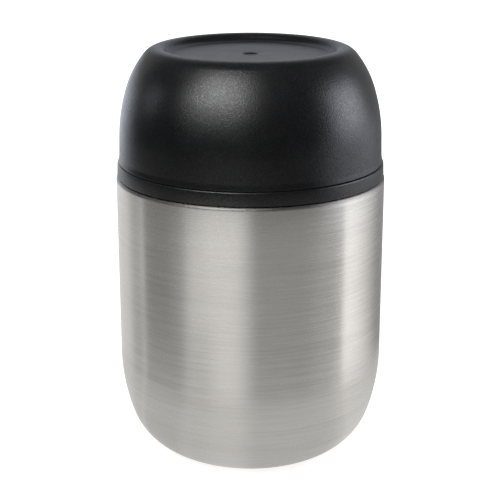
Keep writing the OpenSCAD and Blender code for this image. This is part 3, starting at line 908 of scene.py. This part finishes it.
# %% Draw the vent cap
CAP_WALL = 1.2
CAP_TOP_T = 1.6
CAP_ROUND = 0.8
BOSS_H = 1.6             # the boss that grips the stem
DISH = 0.35
cap_r = cap_high.x
cap_in_r = cap_r - CAP_WALL
cap_in_z = cap_high.z - CAP_TOP_T
stem_r = 1.9
boss_r = stem_r + CAP_WALL
dish_r = 5.6
cap_outline = rounded(
    [(0, cap_in_z), (stem_r, cap_in_z), (stem_r, cap_in_z - BOSS_H, 0.2),
     (boss_r, cap_in_z - BOSS_H, 0.3), (boss_r, cap_in_z), (cap_in_r, cap_in_z, 0.4),
     (cap_in_r, cap_low.z, 0.2), (cap_r, cap_low.z, 0.25),
     (cap_r, cap_high.z, CAP_ROUND), (dish_r + 0.5, cap_high.z, 0.5),
     (dish_r - 0.4, cap_high.z - DISH, 0.8), (0, cap_high.z - DISH)], 7)
vent_cap = spin("vent_cap", cap_outline, 128)
vent_cap.data.materials.append(smooth_black)
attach(vent_cap, "vent")
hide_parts("vent_button")

# %% Draw the stem with its valve head, and the washer on it
valve_r = stem_high.x
valve_top = washer_low.z
stem_outline = rounded([
    (0, stem_low.z), (valve_r - 0.4, stem_low.z, 0.3), (valve_r, stem_low.z + 0.4, 0.3),
    (valve_r, valve_top, 0.25), (stem_r, valve_top, 0.2),
    (stem_r, stem_high.z, 0.2), (0, stem_high.z)])
valve_stem = spin("valve_stem", stem_outline, 96)
valve_stem.data.materials.append(bright_steel)
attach(valve_stem, "vent")
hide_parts("vent_stem")

washer_outline = rounded([
    (stem_r + 0.05, washer_low.z), (washer_high.x, washer_low.z, 0.2),
    (washer_high.x, washer_high.z, 0.3), (stem_r + 0.05, washer_high.z, 0.15)])
valve_washer = spin("valve_washer", washer_outline, 96)
valve_washer.data.materials.append(silicone)
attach(valve_washer, "vent")
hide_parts("vent_seal")
print("vent made")

# %% [markdown]
# ## The return spring
#
# A compression spring is one wire on a helix. Its first and last turn are
# nearly flat, so that it stands square, and the turns between them carry the
# travel. The real spring flattens as the cap is pressed; here it stays on the
# deck with a mesh of its own.

# %% Wind the spring
WIRE_R = 0.35
COILS = 5
RINGS_PER_COIL = 40
WIRE_SIDES = 12
coil_r = spring_high.x - WIRE_R
first_z = spring_low.z + WIRE_R
last_z = spring_high.z - WIRE_R

steps = COILS * RINGS_PER_COIL
share = np.arange(steps + 1) / steps
rise = np.interp(share, (0, 0.14, 0.86, 1), (0, 0.08, 0.92, 1))
around = share * COILS * 2 * math.pi
side = np.arange(WIRE_SIDES) * 2 * math.pi / WIRE_SIDES
out = coil_r + WIRE_R * np.cos(side)[None, :]
level = (first_z + (last_z - first_z) * rise)[:, None] + WIRE_R * np.sin(side)[None, :]
wire = np.stack([out * np.cos(around)[:, None], out * np.sin(around)[:, None], level], axis=2) * MM
wire_faces = [(WIRE_SIDES * i + k, WIRE_SIDES * i + (k + 1) % WIRE_SIDES,
               WIRE_SIDES * (i + 1) + (k + 1) % WIRE_SIDES, WIRE_SIDES * (i + 1) + k)
              for i in range(steps) for k in range(WIRE_SIDES)]
last = WIRE_SIDES * steps
wire_faces.append(tuple(range(WIRE_SIDES))[::-1])
wire_faces.append(tuple(last + k for k in range(WIRE_SIDES)))
return_spring = new_piece("return_spring", wire.reshape(-1, 3).tolist(), wire_faces)
return_spring.data.materials.append(bright_steel)
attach(return_spring, "inner_lid")
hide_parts("vent_spring")
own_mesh(return_spring)

# %% [markdown]
# ## The bowl
#
# Upside down it is the dome of the closed jar. The rim flares out into a small
# lip. Above it the outside leans in slightly, curves in over two arcs, and
# turns over a tight crest, which is the foot that the bowl stands on. Inside
# the crest a soft slope drops to the recessed floor, with a small round mark
# in its middle where the plastic came in. The inside is a plain cup, with lugs
# near the rim for the lid's thread.

# %% Draw the bowl
BOWL_WALL = 2.4
RIM_EDGE = 0.15
BOWL_INSET = 0.9         # from the grip ring to the bowl's wall
LIP = 0.25               # how far the lip flares out of the wall
LIP_H = 2.4
STRAIGHT_H = 10.2
DRAFT = 1.7
LOW_R, LOW_ANGLE = 65.6, 18.2
HIGH_R, HIGH_ANGLE = 37.85, 39.4
CREST_R = 7.24
FOOT_DEPTH = 2.9
FOOT_SLOPE = 5.2
GATE_R = 3.1
GATE_DEPTH = 0.5
BOWL_FLOOR_T = 2.2
BOWL_CORNER_R = 10.0
bowl_r = RING_R - BOWL_INSET
bowl_in_r = bowl_r - BOWL_WALL
bowl_z = bowl_low.z
rebate_r = bowl_r - BOWL_WALL / 2
rebate_z = bowl_z + 1.3


def along(start, angle, radius):
    """The point at a distance from start, in the direction of an angle in degrees."""
    return (start[0] + radius * math.cos(math.radians(angle)),
            start[1] + radius * math.sin(math.radians(angle)))


low_start = (bowl_r - STRAIGHT_H * math.tan(math.radians(DRAFT)), bowl_z + STRAIGHT_H)
low_centre = along(low_start, DRAFT, -LOW_R)
high_centre = along(along(low_centre, LOW_ANGLE, LOW_R), LOW_ANGLE, -HIGH_R)
crest_centre = along(along(high_centre, HIGH_ANGLE, HIGH_R), HIGH_ANGLE, -CREST_R)
foot_z = crest_centre[1] + CREST_R - FOOT_DEPTH
slope_angle = 2 * math.degrees(math.atan(FOOT_DEPTH / FOOT_SLOPE))
slope_r = FOOT_SLOPE / 2 / math.sin(math.radians(slope_angle))
slope_top = (crest_centre[0], crest_centre[1] + CREST_R - slope_r)
slope_low = (crest_centre[0] - FOOT_SLOPE, foot_z + slope_r)
print(f"bowl crest at {crest_centre[1] + CREST_R:.2f} mm, recess floor at {foot_z:.2f} mm")

# %% The inside of the bowl
floor_z = foot_z - BOWL_FLOOR_T
corner_z = floor_z - BOWL_CORNER_R
reach = HIGH_R - BOWL_WALL - BOWL_CORNER_R
corner_x = high_centre[0] + math.sqrt(reach ** 2 - (corner_z - high_centre[1]) ** 2)
corner_angle = math.degrees(math.atan2(corner_z - high_centre[1], corner_x - high_centre[0]))
thread_zone_z = RIM_TOP + 0.95
ledge_z = thread_zone_z + 1.5
ledge_angle = math.degrees(math.asin((ledge_z - low_centre[1]) / (LOW_R - BOWL_WALL)))
inner_face = (
    [(0, floor_z)]
    + arc((corner_x, corner_z), BOWL_CORNER_R, 90, corner_angle, 16)
    + arc(high_centre, HIGH_R - BOWL_WALL, corner_angle, LOW_ANGLE, 10)
    + arc(low_centre, LOW_R - BOWL_WALL, LOW_ANGLE, ledge_angle, 8)
    + [(bowl_in_r, thread_zone_z, 0.8), (bowl_in_r, rebate_z, 0.2), (rebate_r, rebate_z)])
lip_r = bowl_r + LIP
outer_rim = [(rebate_r, bowl_z, 0.15), (lip_r - RIM_EDGE, bowl_z, 0.2),
             (lip_r, bowl_z + RIM_EDGE, 0.2)]
for share in np.linspace(0, 1, 13)[1:]:
    up = RIM_EDGE + share * (LIP_H - RIM_EDGE)
    wall_r = bowl_r - up * math.tan(math.radians(DRAFT))
    outer_rim.append((wall_r + LIP * (1 - float(smooth(share))), bowl_z + up))
outer_dome = (
    arc(low_centre, LOW_R, DRAFT, LOW_ANGLE, 24)
    + arc(high_centre, HIGH_R, LOW_ANGLE, HIGH_ANGLE, 20)
    + arc(crest_centre, CREST_R, HIGH_ANGLE, 90, 20)
    + arc(slope_top, slope_r, 90, 90 + slope_angle, 12)
    + arc(slope_low, slope_r, slope_angle - 90, -90, 12))
gate_mark = [
    (GATE_R + 0.4, foot_z), (GATE_R, foot_z - 0.1), (GATE_R - 0.5, foot_z - GATE_DEPTH, 0.3),
    (0.9, foot_z - GATE_DEPTH, 0.2), (0.7, foot_z - GATE_DEPTH + 0.25, 0.15),
    (0, foot_z - GATE_DEPTH + 0.25)]
bowl_outline = rounded(outer_rim + outer_dome + gate_mark + inner_face)
bowl_outline = with_rows(bowl_outline, THREAD_ROW, rebate_z, thread_zone_z)


def bowl_relief(r, z, angle):
    """The lugs inside the rim."""
    inside = (np.abs(r - bowl_in_r) < 0.02) & (z > rebate_z + 0.1) & (z < thread_zone_z)
    return r - inside * lugs(z, angle, LID_THREAD_Z), z


bowl_moulding = spin("bowl_moulding", bowl_outline, 360, bowl_relief)
bowl_moulding.data.materials.append(grained_black)
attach(bowl_moulding, "bowl")
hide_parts("bowl")
print("bowl:", len(bowl_moulding.data.vertices), "points")

# %% Draw the bowl's gasket
ring_in_r = bowl_in_r + 0.1
middle_z = (bowl_ring_low.z + bowl_ring_high.z) / 2
ring_outline = rounded([
    (ring_in_r, bowl_ring_low.z, 0.2), (bowl_ring_high.x, bowl_ring_low.z, 0.2),
    (bowl_ring_high.x, bowl_ring_high.z, 0.25), (ring_in_r, bowl_ring_high.z, 0.25),
    (ring_in_r, middle_z + 0.2), (ring_in_r + 0.25, middle_z, 0.1),
    (ring_in_r, middle_z - 0.2)], 4)
bowl_gasket = spin("bowl_gasket", ring_outline, 256)
bowl_gasket.data.materials.append(silicone)
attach(bowl_gasket, "bowl_lift")
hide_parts("bowl_seal")

# %% [markdown]
# ## The hidden pieces
#
# The foil, pan, getter, clip, solder bead and foam are right as they come from
# the frame, so they keep their meshes and only get their finishes.

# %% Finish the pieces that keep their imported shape
KEPT = {"heat_foil": copper_foil, "base_pan": vessel_steel, "getter": getter_metal,
        "getter_clip": bright_steel, "vacuum_seal": getter_metal, "lid_foam": rigid_foam}
for name, finish in KEPT.items():
    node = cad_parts[name]
    for place in node.material_slots:
        place.material = finish
print("kept from the frame:", sorted(KEPT))

# %% [markdown]
# ## The studio
#
# The jar stands on a white floor that runs out of the picture, and that is
# clear from below, so that the foot can be looked at. Everything a viewer
# reads as "steel" is what the steel reflects, so the reflections are
# set up as a photographer does it: a close ring of cards and black flags round
# the jar, seen only by shiny surfaces. Soft lamps, which the reflections don't
# see, give the plain light that colours need.

# %% Floor and background
scene = bpy.context.scene
scene.view_settings.view_transform = "Standard"


def background_ray(tree):
    """1 for rays that should see a white background: the camera's, mirrored and refracted ones."""
    path = add(tree, "ShaderNodeLightPath").outputs
    seen = calc(tree, "MAXIMUM", path["Is Camera Ray"], path["Is Glossy Ray"])
    return calc(tree, "MAXIMUM", seen, path["Is Transmission Ray"])


AMBIENT = 0.35           # what the room adds to soft light
world = bpy.data.worlds.new("studio")
scene.world = world
world.use_nodes = True
world.node_tree.nodes.clear()
tree = world.node_tree
strength = calc(tree, "MULTIPLY_ADD", background_ray(tree), 1 - AMBIENT, AMBIENT)
sky = add(tree, "ShaderNodeBackground", {"Color": (1, 1, 1, 1), "Strength": strength})
add(tree, "ShaderNodeOutputWorld", {"Surface": sky.outputs[0]})

FLOOR_R = 4.0
FLOOR_DROP = 0.02 * MM   # keeps the floor clear of the standing ring
FLOOR_LIFT = 0.66        # light that the background adds to the floor's own, near the jar
LIFT_FROM, LIFT_FULL = 0.2, 0.8     # metres from the jar, over which it grows to 1
floor_material = bpy.data.materials.new("white floor")
floor_material.use_nodes = True
tree = floor_material.node_tree
tree.nodes.clear()
matt = add(tree, "ShaderNodeBsdfDiffuse", {"Color": (0.82, 0.82, 0.82, 1)})
spot, _ = position(tree)
away = add(tree, "ShaderNodeVectorMath", {0: spot}, operation="LENGTH").outputs["Value"]
lift = calc(tree, "MULTIPLY", background_ray(tree),
            ramp(tree, away, LIFT_FROM, LIFT_FULL, FLOOR_LIFT, 1.0))
glow = add(tree, "ShaderNodeEmission", {"Color": (1, 1, 1, 1), "Strength": lift})
both = add(tree, "ShaderNodeAddShader", {0: matt.outputs[0], 1: glow.outputs[0]})
clear = add(tree, "ShaderNodeBsdfTransparent", {"Color": (1, 1, 1, 1)})
below = add(tree, "ShaderNodeNewGeometry").outputs["Backfacing"]
one_way = add(tree, "ShaderNodeMixShader", {0: below, 1: both.outputs[0], 2: clear.outputs[0]})
add(tree, "ShaderNodeOutputMaterial", {"Surface": one_way.outputs[0]})

STUDIO = bpy.data.collections.new("studio")
scene.collection.children.link(STUDIO)
turns = np.linspace(0, 2 * math.pi, 65)[:-1]
rim = [(FLOOR_R * math.cos(a), FLOOR_R * math.sin(a), -FLOOR_DROP) for a in turns]
floor_mesh = bpy.data.meshes.new("floor")
floor_mesh.from_pydata(rim, [], [tuple(range(len(rim)))])
floor = bpy.data.objects.new("floor", floor_mesh)
floor.data.materials.append(floor_material)
STUDIO.objects.link(floor)

# %% [markdown]
# ### Cards and flags
#
# The cards are one closed can round the jar whose wall glows differently by
# direction. Azimuth 0 is the camera's side and positive is to its right.
# Later cards lie over earlier ones, and each has soft or crisp sides, because
# the bands in the steel have both.

# %% The card group and the can's wall
card, card_in = effect("card", {}, [])
for label in ("Under", "Glow"):
    card.interface.new_socket(label, in_out="INPUT", socket_type="NodeSocketColor")
for label in ("Azimuth", "Height", "From", "To", "From edge", "To edge", "Bottom", "Top",
              "Height edge", "Opacity"):
    card.interface.new_socket(label, in_out="INPUT", socket_type="NodeSocketFloat")
card.interface.new_socket("Result", in_out="OUTPUT", socket_type="NodeSocketColor")


def side_mask(value, edge, width, sign):
    """1 inside one side of a card, falling to 0 over its edge."""
    away = calc(card, "MULTIPLY", calc(card, "SUBTRACT", value, edge), sign)
    half = calc(card, "MULTIPLY", width, 0.5)
    return ramp(card, away, calc(card, "MULTIPLY", half, -1.0), half)


mask = card_in["Opacity"]
for value, edge, width, sign in (("Azimuth", "From", "From edge", 1.0),
                                 ("Azimuth", "To", "To edge", -1.0),
                                 ("Height", "Bottom", "Height edge", 1.0),
                                 ("Height", "Top", "Height edge", -1.0)):
    side = side_mask(card_in[value], card_in[edge], card_in[width], sign)
    mask = calc(card, "MULTIPLY", mask, side)
add(card, "NodeGroupOutput", {"Result": tint(card, mask, card_in["Under"], card_in["Glow"])})

# %% Lay out the cards
LOW = -100               # below the floor
HIGH = 900               # above the roof
SPLIT = 98               # the steel mirrors what is below this height, the lid what is above
SOFT = 5
COOL = (0.87, 0.90, 1.0)
COOLER = (0.84, 0.88, 1.0)
PLAIN = (1.0, 1.0, 1.0)
ROOM = 0.34              # what glows where no card hangs
# what, from, to, their edges (degrees), bottom, top, their edge (mm), glow, colour, opacity
CARDS = [
    ("dark front", -108, 56, 20, 20, SPLIT + 4, HIGH, 14, 0.015, PLAIN, 1),
    ("dark above", -181, 181, 1, 1, 235, HIGH, 60, 0.12, PLAIN, 1),
    ("left rear sheet", -182, -96, 1, 24, LOW, SPLIT, SOFT, 0.83, PLAIN, 1),
    ("left side sheet", -102, -84, 16, 4, LOW, SPLIT, SOFT, 0.54, PLAIN, 1),
    ("rear join", 150, 182, 30, 1, LOW, SPLIT, SOFT, 0.83, PLAIN, 1),
    ("left strip", -87.5, -84, 2, 1.5, LOW, SPLIT, SOFT, 0.85, PLAIN, 1),
    ("left flag", -82.5, -56, 1.5, 12, LOW, SPLIT, SOFT, 0.32, PLAIN, 1),
    ("left flag, low end", -82.5, -56, 1.5, 12, LOW, 30, 30, 0.44, PLAIN, 0.8),
    ("front left flag", -56, -44, 12, 3, LOW, SPLIT, SOFT, 0.42, PLAIN, 1),
    ("front left sheet", -45, 0, 12, 22, LOW, SPLIT, SOFT, 0.85, PLAIN, 1),
    ("front left core", -30, -8, 16, 12, LOW, SPLIT, SOFT, 0.94, PLAIN, 1),
    ("front left top", -32, -4, 16, 14, 82, SPLIT, SOFT, 1.22, PLAIN, 1),
    ("front left shade", -45, -26, 3, 20, LOW, 34, 30, 0.60, PLAIN, 0.75),
    ("front flag", 4, 44, 12, 26, LOW, SPLIT, SOFT, 0.40, PLAIN, 1),
    ("right grey", 44, 66, 24, 12, LOW, SPLIT, SOFT, 0.52, PLAIN, 1),
    ("right edge strip", 62, 69.5, 4, 1.0, LOW, SPLIT, SOFT, 0.62, PLAIN, 1),
    ("right sheet", 69.5, 96, 1.0, 56, LOW, SPLIT, SOFT, 1.42, PLAIN, 1),
    ("right sheet, low end", 60, 110, 14, 50, LOW, 10, 24, 1.10, PLAIN, 0.6),
    ("right low window", 57, 110, 24, 30, SPLIT, 132, 20, 1.56, COOL, 1),
    ("left low window", -178, -112, 4, 26, SPLIT, 158, 36, 1.92, COOLER, 1),
    ("key window", -48, -5, 22, 22, 180, 318, 50, 7.4, PLAIN, 1),
    ("right window", 67, 96, 16, 24, 133, 198, 24, 5.6, COOL, 1),
    ("left window", -91, -79, 7, 7, 154, 192, 18, 1.7, COOL, 1),
    ("rear window", 150, 182, 16, 1, 104, 290, 44, 0.68, COOL, 1),
    ("rear window left", -182, -150, 1, 16, 104, 290, 44, 0.68, COOL, 1),
    ("floor sheet", -181, 181, 1, 1, LOW, 1, 0.5, 0.74, PLAIN, 0.74),
]
can_material = bpy.data.materials.new("cards and flags")
can_material.use_nodes = True
tree = can_material.node_tree
tree.nodes.clear()
_, xyz = position(tree)
turn = calc(tree, "ARCTAN2", xyz["X"], calc(tree, "MULTIPLY", xyz["Y"], -1.0))
azimuth = calc(tree, "MULTIPLY", turn, 180 / math.pi)
level = calc(tree, "DIVIDE", xyz["Z"], MM)
under = add(tree, "ShaderNodeRGB")
under.outputs[0].default_value = (ROOM, ROOM, ROOM, 1)
colour = under.outputs[0]
for what, start, end, edge_in, edge_out, bottom, top, soft, glow, hue, opacity in CARDS:
    values = {"Under": colour, "Glow": tuple(glow * c for c in hue) + (1,), "Azimuth": azimuth,
              "Height": level, "From": start, "To": end, "From edge": edge_in,
              "To edge": edge_out, "Bottom": bottom, "Top": top, "Height edge": soft,
              "Opacity": opacity}
    hung = add(tree, "ShaderNodeGroup", values, node_tree=card, label=what)
    colour = hung.outputs["Result"]
glow = add(tree, "ShaderNodeEmission", {"Color": colour, "Strength": 1.0})
add(tree, "ShaderNodeOutputMaterial", {"Surface": glow.outputs[0]})
print(len(CARDS), "cards round the jar")

# %% Stand the can of cards round the jar
CAN_R = 130
CAN_TOP = 420
CAN_ROUND = 60
CAN_SIDES = 96
FLOOR_SHEET_Z = 0.1
can_outline = (
    [(BODY_R / 2, FLOOR_SHEET_Z), (CAN_R, FLOOR_SHEET_Z), (CAN_R, FLOOR_SHEET_Z + 2)]
    + arc((CAN_R - CAN_ROUND, CAN_TOP - CAN_ROUND), CAN_ROUND, 0, 90, 8) + [(1, CAN_TOP)])
turns = np.linspace(0, 2 * math.pi, CAN_SIDES + 1)[:-1]
can_verts = [(r * math.cos(a) * MM, r * math.sin(a) * MM, z * MM)
             for r, z in can_outline for a in turns]
can_faces = [(CAN_SIDES * i + k, CAN_SIDES * i + (k + 1) % CAN_SIDES,
              CAN_SIDES * (i + 1) + (k + 1) % CAN_SIDES, CAN_SIDES * (i + 1) + k)
             for i in range(len(can_outline) - 1) for k in range(CAN_SIDES)]
can_mesh = bpy.data.meshes.new("cards")
can_mesh.from_pydata(can_verts, [], can_faces)
cards = bpy.data.objects.new("cards", can_mesh)
cards.data.materials.append(can_material)
STUDIO.objects.link(cards)
cards.visible_camera = False
cards.visible_diffuse = False
cards.visible_shadow = False
cards.visible_transmission = False
cards.visible_volume_scatter = False

# %% [markdown]
# ### Lamps
#
# Three large soft lamps at a plain level. They light matt surfaces only, as
# the cards take care of every reflection.

# %% Hang the lamps
def soft_lamp(name, azimuth_deg, elevation_deg, distance, size, power):
    """A square area lamp aimed at the jar's middle. Azimuth 0 is the camera's side."""
    data = bpy.data.lights.new(name, "AREA")
    data.shape = "SQUARE"
    data.size = size
    data.energy = power
    lamp = bpy.data.objects.new(name, data)
    a, e = math.radians(azimuth_deg), math.radians(elevation_deg)
    toward = Vector((math.sin(a) * math.cos(e), -math.cos(a) * math.cos(e), math.sin(e)))
    lamp.location = Vector((0, 0, 0.09)) + toward * distance
    lamp.rotation_mode = "QUATERNION"
    lamp.rotation_quaternion = toward.to_track_quat("Z", "Y")
    lamp.visible_glossy = False
    STUDIO.objects.link(lamp)
    return lamp


soft_lamp("key_lamp", -32, 46, 1.1, 0.8, 7.0)
soft_lamp("fill_lamp", 55, 30, 1.2, 0.9, 3.8)
soft_lamp("rear_lamp", 180, 60, 1.2, 0.8, 3.8)

# %% [markdown]
# ## The camera
#
# The photograph was taken from a little above, with a long lens. Distance and
# height were found by fitting the jar's outline: the flattening of the rim's
# ellipse gives the height, and the taper of the body gives the distance.

# %% Place the camera
ELEVATION = math.radians(17.5)
DISTANCE = 0.529
AIM_Z = 0.0805
FOCAL_PX = 1331
PICTURE_PX = 500
SHIFT_PX = 0.4           # the jar stands this far from the picture's middle
camera_data = bpy.data.cameras.new("camera")
camera_data.sensor_width = 36
camera_data.lens = FOCAL_PX / PICTURE_PX * camera_data.sensor_width
camera_data.shift_x = -SHIFT_PX / PICTURE_PX
camera_data.clip_start = 0.01
camera = bpy.data.objects.new("camera", camera_data)
back = Vector((0, -math.cos(ELEVATION), math.sin(ELEVATION)))
camera.location = Vector((0, 0, AIM_Z)) + back * DISTANCE
camera.rotation_mode = "QUATERNION"
camera.rotation_quaternion = back.to_track_quat("Z", "Y")
scene.collection.objects.link(camera)
scene.camera = camera
print("camera at", [round(c, 3) for c in camera.location])
